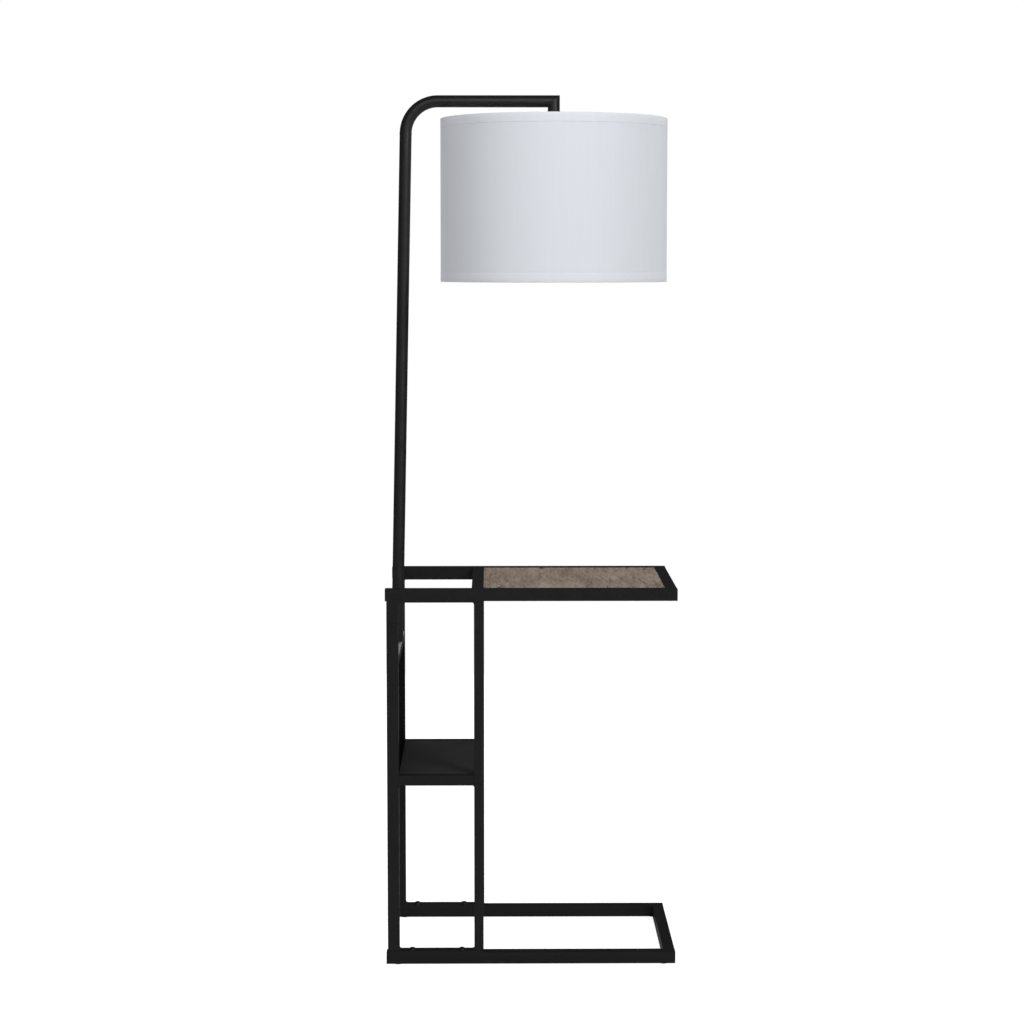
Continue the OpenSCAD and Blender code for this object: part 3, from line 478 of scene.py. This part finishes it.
OWN_LOOKS = {
    # the side panel's near-black is painted shade for the gap between the left uprights
    "side_panel": painted_shade_black(),
    # painted highlight: the bar's upward faces and the whole foot plate are light grey, standing in for
    # light on their top edges
    "pole_bar": painted_highlight_steel("painted_highlight_top", black_below=True),
    "pole_foot": painted_highlight_steel("painted_highlight_grey", black_below=False),
}


# ---------- the CAD pieces ----------
EDGE = {  # how far each kind of piece has its edges rounded, in mm
    "rail": 0.8,
    "plate": 0.4,
    "board": 0.6,
    "small": 0.25,
}
RAILS = ("base_front_rail", "base_back_rail", "base_end_rail", "top_front_rail", "top_back_rail",
         "top_end_rail", "top_mid_rail", "lower_left_front", "lower_left_back", "lower_mid_front",
         "lower_mid_back", "upper_left_front", "upper_left_back", "upper_mid_front",
         "upper_mid_back", "shelf_front_rail", "shelf_back_rail", "shelf_left_rail",
         "shelf_mid_rail", "pole_bar", "pole_stay")
PLATES = ("foot_plates", "head_plates", "top_plates", "side_panel", "board_ledges", "pole_foot")
POLES = ("pole_lower", "pole_upper", "arm_sleeve", "arm_tube", "arm_drop")
SMALL = ("base_glides", "base_bolts", "cord_grommet", "arm_tube", "arm_drop", "pole_lower",
         "pole_upper", "socket_cap", "switch_boss", "switch_key", "bulb_glass")
BOARDS = ("table_board", "shelf_panel", "base_end_caps", "top_end_caps")


WELD_WITHIN = 2e-6  # metres
FLAT_WITHIN = math.radians(0.5)
SHARP_OVER = math.radians(38)


def round_edges(obj, width):
    """Rounds a CAD piece's edges with modifiers; its own mesh stays as it is."""
    for face in obj.data.polygons:
        face.use_smooth = True
    weld = obj.modifiers.new("weld", "WELD")
    weld.merge_threshold = WELD_WITHIN
    flat = obj.modifiers.new("flat", "DECIMATE")
    flat.decimate_type = "DISSOLVE"
    flat.angle_limit = FLAT_WITHIN
    bevel = obj.modifiers.new("edges", "BEVEL")
    bevel.width = width * MM
    bevel.segments = 2
    bevel.limit_method = "ANGLE"
    bevel.angle_limit = SHARP_OVER
    normals = obj.modifiers.new("normals", "WEIGHTED_NORMAL")
    normals.keep_sharp = True


def dress_nodes():
    slots = {row["node"]: row["material_slot"] for row in frame["record"]["subparts"]}
    for name, obj in NODES.items():
        obj.data.materials.clear()
        if name in OWN_LOOKS:
            obj.data.materials.append(OWN_LOOKS[name])
        elif name in POLES:
            obj.data.materials.append(POLE_BLACK)
        elif name in RAILS:
            lo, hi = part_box(name)
            spans = {hi.x - lo.x: "x", hi.y - lo.y: "y", hi.z - lo.z: "z"}
            obj.data.materials.append(TUBES[spans[max(spans)]])
        else:
            obj.data.materials.append(LOOKS[slots[name]])
        if name in RAILS:
            round_edges(obj, EDGE["rail"])
        elif name in PLATES:
            round_edges(obj, EDGE["plate"])
        elif name in BOARDS:
            round_edges(obj, EDGE["board"])
        elif name in SMALL:
            round_edges(obj, EDGE["small"])


# ---------- built pieces ----------
def finish_piece(name, bm, materials):
    mesh = bpy.data.meshes.new(name)
    bmesh.ops.recalc_face_normals(bm, faces=bm.faces)
    bm.to_mesh(mesh)
    bm.free()
    for material in materials:
        mesh.materials.append(material)
    for face in mesh.polygons:
        face.use_smooth = True
    obj = bpy.data.objects.new(name, mesh)
    bpy.context.scene.collection.objects.link(obj)
    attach(obj, "lamp")
    return obj


def turned(profile, centre, steps, wobble, inside=None):
    """Turns a closed profile of (radius, height) points about the vertical line through centre.

    wobble(angle, radius, height) is added to the radius. inside(index) gives the material index of the
    strip from profile point index to the next. UVs run in metres: u round, v along the profile.
    """
    bm = bmesh.new()
    uv = bm.loops.layers.uv.new("metres")
    rings = []
    for k in range(steps):
        angle = 2 * math.pi * k / steps
        ring = []
        for r, z in profile:
            radius = r + wobble(angle, r, z)
            at = (centre[0] + radius * math.cos(angle), centre[1] + radius * math.sin(angle), z)
            ring.append(bm.verts.new(at))
        rings.append(ring)
    count = len(profile)
    reach = max(r for r, z in profile)
    for k in range(steps):
        here, there = rings[k], rings[(k + 1) % steps]
        for i in range(count):
            j = (i + 1) % count
            face = bm.faces.new((here[i], there[i], there[j], here[j]))
            face.material_index = inside(i) if inside else 0
            rounds = [k, k + 1, k + 1, k]
            heights = [profile[i][1], profile[i][1], profile[j][1], profile[j][1]]
            for loop, step, height in zip(face.loops, rounds, heights):
                loop[uv].uv = (2 * math.pi * reach * step / steps, height)
    return bm


def arc(cx, cz, r, from_deg, to_deg, steps):
    turn = (to_deg - from_deg) / steps
    return [(cx + r * math.cos(math.radians(from_deg + turn * k)),
             cz + r * math.sin(math.radians(from_deg + turn * k))) for k in range(steps + 1)]


def middle(node):
    lo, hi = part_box(node)
    return (lo + hi) / 2


SHADE_STEPS = 256
SEAM_ANGLE = math.radians(90)  # the shade's glued seam faces the back
SEAM_HALF = math.radians(1.6)
SEAM_SLOPE = math.radians(0.5)
SEAM_RISE = 0.35 * MM
SHADE_WALL = 1.2 * MM
SHADE_ROWS = 24
RIM_STEPS = 6
HEM_INSIDE = 11 * MM
HEM_TAPE = 0.12 * MM  # how far the tape's outer face stands off the cloth
HEM_GAP = 0.02 * MM  # and its inner face
HEM_EDGE = 0.04 * MM  # and its outer face at the thin outer edge
HEM_SLOPE = 1.0 * MM  # over this height the tape's outer edge thins out
FOLD_DROP = 0.35  # the fold starts this far below the rim, as a share of its half width
FOLD_RISE = 0.33  # and rises by this share
FOLD_STEPS = 10


def shade_wobble(angle, r, z):
    """The cloth isn't dead round: faint long waves, and the step of the glued overlap."""
    waves = 0.00012 * math.sin(3 * angle + 1.1) + 0.00009 * math.sin(7 * angle + 9 * z)
    off = abs((angle - SEAM_ANGLE + math.pi) % (2 * math.pi) - math.pi)
    step = SEAM_RISE * max(0.0, min(1.0, (SEAM_HALF - off) / SEAM_SLOPE + 0.5))
    return waves + step


def make_shade():
    lo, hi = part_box("shade_fabric")
    centre = middle("shade_fabric")
    outer = (hi.x - lo.x) / 2
    inner = outer - SHADE_WALL
    half = SHADE_WALL / 2
    tall = hi.z - lo.z
    side = [lo.z + half + (tall - SHADE_WALL) * k / SHADE_ROWS for k in range(SHADE_ROWS + 1)]
    profile = [(outer, z) for z in side]
    profile += arc(outer - half, hi.z - half, half, 0, 180, RIM_STEPS)[1:-1]
    profile += [(inner, z) for z in reversed(side)]
    profile += arc(outer - half, lo.z + half, half, 180, 360, RIM_STEPS)[1:-1]
    turn = SHADE_ROWS + RIM_STEPS  # the inner side's strips start with this one
    bm = turned(profile, centre, SHADE_STEPS, shade_wobble,
                lambda i: 1 if turn <= i < turn + SHADE_ROWS else 0)
    shade = finish_piece("shade_cloth", bm, [LOOKS["shade_linen"], LINING])
    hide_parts("shade_fabric")

    for node, up in (("hem_top", 1), ("hem_bottom", -1)):
        band_lo, band_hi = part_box(node)
        edge = band_hi.z if up > 0 else band_lo.z
        far = band_lo.z if up > 0 else band_hi.z
        make_hem(node + "_tape", centre, outer, inner, edge, far, up, node)


def make_hem(name, centre, outer, inner, edge, far, up, node):
    """A folded band over the shade's edge: down the outside, over the rim, a little way inside."""
    tape = HEM_TAPE
    fold = (outer - inner) / 2 + tape
    mid = (outer + inner) / 2
    fold_z = edge - up * fold * FOLD_DROP
    back_z = edge - up * HEM_INSIDE
    rim = arc(0, 0, 1, 0, 180, FOLD_STEPS)
    high = fold * FOLD_RISE
    over = [(mid + fold * x, fold_z + up * high * z) for x, z in rim]
    under = [(mid + (fold - tape) * x, fold_z + up * (high - tape * 0.4) * z) for x, z in rim]
    thin = far + up * HEM_SLOPE
    out_side = [(outer + HEM_EDGE, far), (outer + tape, thin), (outer + tape, (far + fold_z) / 2)]
    in_side = [(inner - tape, (back_z + fold_z) / 2), (inner - tape, back_z)]
    under_in = [(inner - HEM_GAP, back_z), (inner - HEM_GAP, (back_z + fold_z) / 2)]
    under_out = [(outer + HEM_GAP, (far + fold_z) / 2), (outer + HEM_GAP, far)]
    profile = out_side + over + in_side + under_in + list(reversed(under)) + under_out

    def wobble(angle, r, z):
        return shade_wobble(angle, r, z) + 0.00008 * math.sin(41 * angle + 130 * z)

    bm = turned(profile, centre, SHADE_STEPS, wobble)
    hem = finish_piece(name, bm, [LOOKS["hem_linen"]])
    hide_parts(node)
    return hem


KNURLS = 36
KNURL_STEPS = 8
EASE_STEPS = 4
KNURL_DEPTH = 0.5 * MM
NUT_WALL = 5 * MM
NUT_EASE = 0.8 * MM  # radius of its outer edges
BORE_EASE = 0.4 * MM  # chamfer of a bore's edges


def make_nut():
    """The shade's clamping nut, ribbed for the fingers."""
    lo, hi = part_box("shade_nut")
    centre = middle("shade_nut")
    outer = (hi.x - lo.x) / 2
    bore = outer - NUT_WALL
    ease = NUT_EASE

    def ribs(angle, r, z):
        if r < outer - 1.2 * ease:
            return 0
        edge = min(z - lo.z, hi.z - z)
        return -KNURL_DEPTH * (0.5 - 0.5 * math.cos(KNURLS * angle)) * min(1.0, edge / ease)

    profile = arc(outer - ease, lo.z + ease, ease, -90, 0, EASE_STEPS)
    profile += [(outer, (lo.z + hi.z) / 2)]
    profile += arc(outer - ease, hi.z - ease, ease, 0, 90, EASE_STEPS)
    profile += [(bore + BORE_EASE, hi.z), (bore, hi.z - BORE_EASE)]
    profile += [(bore, lo.z + BORE_EASE), (bore + BORE_EASE, lo.z)]
    bm = turned(profile, centre, KNURLS * KNURL_STEPS, ribs)
    nut = finish_piece("shade_nut_ribbed", bm, [LOOKS["holder_black"]])
    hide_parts("shade_nut")


THREAD_PITCH = 2.5 * MM
THREAD_DEPTH = 0.7 * MM
THREAD_RUN = 9 * MM  # how far the thread reaches below the nut
THREAD_ROWS = 8  # rows of faces to one pitch
SHELL_WALL = 3 * MM
SHELL_EASE = 1.0 * MM  # radius of its lower edge, and the thread's run-out at the top
SHELL_STEPS = 96


def make_shell():
    """The lamp holder's shell: a coarse thread for the nut, a plain lower part and a rounded rim."""
    lo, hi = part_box("socket_shell")
    centre = middle("socket_shell")
    outer = (hi.x - lo.x) / 2
    bore = outer - SHELL_WALL
    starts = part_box("shade_nut")[0].z - THREAD_RUN
    ease = SHELL_EASE

    def thread(angle, r, z):
        if r < outer - 0.5 * MM:
            return 0
        inside = min(1.0, max(0.0, (z - starts) / THREAD_PITCH), max(0.0, (hi.z - z) / ease))
        return -THREAD_DEPTH * inside * (0.5 - 0.5 * math.cos(2 * math.pi * z / THREAD_PITCH - angle))

    rows = int((hi.z - lo.z - ease) / (THREAD_PITCH / THREAD_ROWS))
    side = [(outer, lo.z + ease + (hi.z - lo.z - ease) * k / rows) for k in range(rows + 1)]
    profile = arc(outer - ease, lo.z + ease, ease, -90, 0, EASE_STEPS)[:-1] + side
    profile += [(bore, hi.z), (bore, lo.z + BORE_EASE), (bore + BORE_EASE, lo.z)]
    bm = turned(profile, centre, SHELL_STEPS, thread)
    shell = finish_piece("holder_shell_threaded", bm, [LOOKS["holder_black"]])
    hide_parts("socket_shell")


def main():
    make_camera()
    make_studio()
    dress_nodes()
    make_shade()
    make_nut()
    make_shell()


main()
